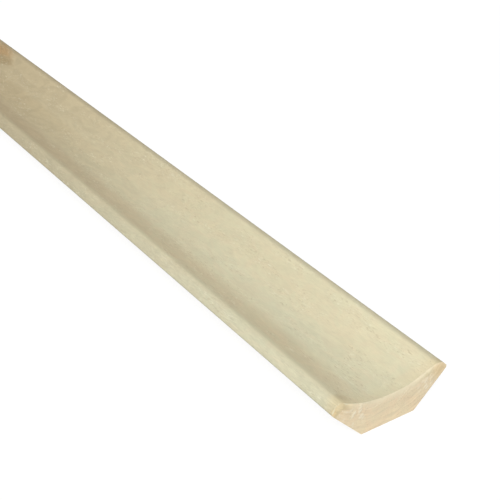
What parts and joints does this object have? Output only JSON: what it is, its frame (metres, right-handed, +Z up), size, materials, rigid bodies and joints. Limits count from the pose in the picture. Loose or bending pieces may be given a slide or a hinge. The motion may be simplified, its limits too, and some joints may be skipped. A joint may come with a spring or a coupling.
{
  "type": "skirting board",
  "caption": "Straight length of bare wooden cove skirting: a shallow hollow face between two rounded edges, with a bevelled back that closes the corner of wall and floor.",
  "frame": {"origin": "on the level of the narrow back that the piece lies on, under the middle of its length and width", "axes": "+X along the length to the cut end that the picture shows, +Y across the piece, +Z up, out of the hollow face"},
  "size_m": [2, 0.045, 0.0149],
  "materials": {
    "bare_wood": "matte"
  },
  "bodies": {
    "root": {"skirting_board": "bare_wood"}
  },
  "joints": []
}
